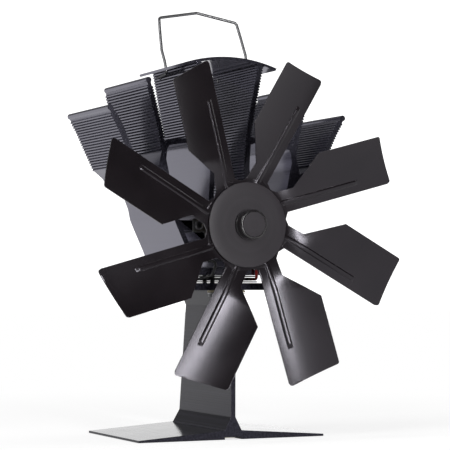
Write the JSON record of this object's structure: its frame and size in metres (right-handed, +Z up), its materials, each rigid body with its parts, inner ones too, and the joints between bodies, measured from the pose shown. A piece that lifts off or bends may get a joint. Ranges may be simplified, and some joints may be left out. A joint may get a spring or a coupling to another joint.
{
  "type": "stove fan",
  "caption": "Heat-powered stove fan: extruded stand, ribbed heat sink with domed top, motor with a twisted-blade rotor and a wire carrying handle.",
  "frame": {"origin": "centre of the footprint on the surface that the fan stands on: the middle of the overall width and depth, at the underside of the stand", "axes": "+Z up, +Y to the back, so the blades face -Y; +X to the right as seen from the front; the rotor turns about a line along Y"},
  "size_m": [0.1714, 0.1012, 0.237],
  "materials": {
    "black_anodised": "black anodised, fine extrusion lines",
    "blade_black": "black anodised sheet, satin",
    "disc_grey": "dark grey anodised, satin",
    "knob_black": "black anodised, turned",
    "steel": "bright drawn steel",
    "zinc_steel": "zinc plated steel",
    "dark_steel": "blackened steel",
    "brass": "turned brass",
    "bronze": "sintered bronze",
    "copper": "enamelled copper wire",
    "bimetal": "rolled bimetal strip",
    "ceramic_white": "matt alumina",
    "module_grey": "semiconductor pellets with a sealed rim",
    "cap_plastic": "moulded nylon",
    "bush_plastic": "heat-proof insulating plastic",
    "carbon": "carbon brush",
    "ferrite": "ferrite magnet",
    "red_sleeve": "silicone sleeve",
    "black_sleeve": "silicone sleeve"
  },
  "bodies": {
    "fan_body": {"bimetal_strip": "bimetal", "black_lead": "black_sleeve", "clamp_screw_1": "dark_steel", "clamp_screw_2": "dark_steel", "clamp_screw_3": "dark_steel", "clamp_screw_4": "dark_steel", "front_bearing": "bronze", "handle": "steel", "heat_sink": "black_anodised", "insulating_bush_1": "bush_plastic", "insulating_bush_2": "bush_plastic", "insulating_bush_3": "bush_plastic", "insulating_bush_4": "bush_plastic", "module_cold_plate": "ceramic_white", "module_core": "module_grey", "module_hot_plate": "ceramic_white", "motor_brush_1": "carbon", "motor_brush_2": "carbon", "motor_can": "zinc_steel", "motor_end_cap": "cap_plastic", "motor_magnet_1": "ferrite", "motor_magnet_2": "ferrite", "motor_plate": "zinc_steel", "motor_screw_1": "dark_steel", "motor_screw_2": "dark_steel", "motor_terminal_1": "brass", "motor_terminal_2": "brass", "plate_screw_1": "dark_steel", "plate_screw_2": "dark_steel", "rear_bearing": "bronze", "red_lead": "red_sleeve", "spring_washer_1": "steel", "spring_washer_2": "steel", "spring_washer_3": "steel", "spring_washer_4": "steel", "stand": "black_anodised", "strip_rivet_1": "steel", "strip_rivet_2": "steel"},
    "rotor": {"armature_core": "zinc_steel", "armature_winding_1": "copper", "armature_winding_2": "copper", "armature_winding_3": "copper", "blade_wheel": "blade_black", "commutator": "brass", "hub_boss": "brass", "hub_disc": "disc_grey", "hub_grub_screw": "steel", "hub_knob": "knob_black", "motor_shaft": "steel"}
  },
  "joints": [
    {"name": "rotor_spin", "type": "hinge", "parent": "fan_body", "child": "rotor", "pos_m": [0, -0.01687, 0.1146], "axis": [0, -1, 0], "continuous": true}
  ]
}
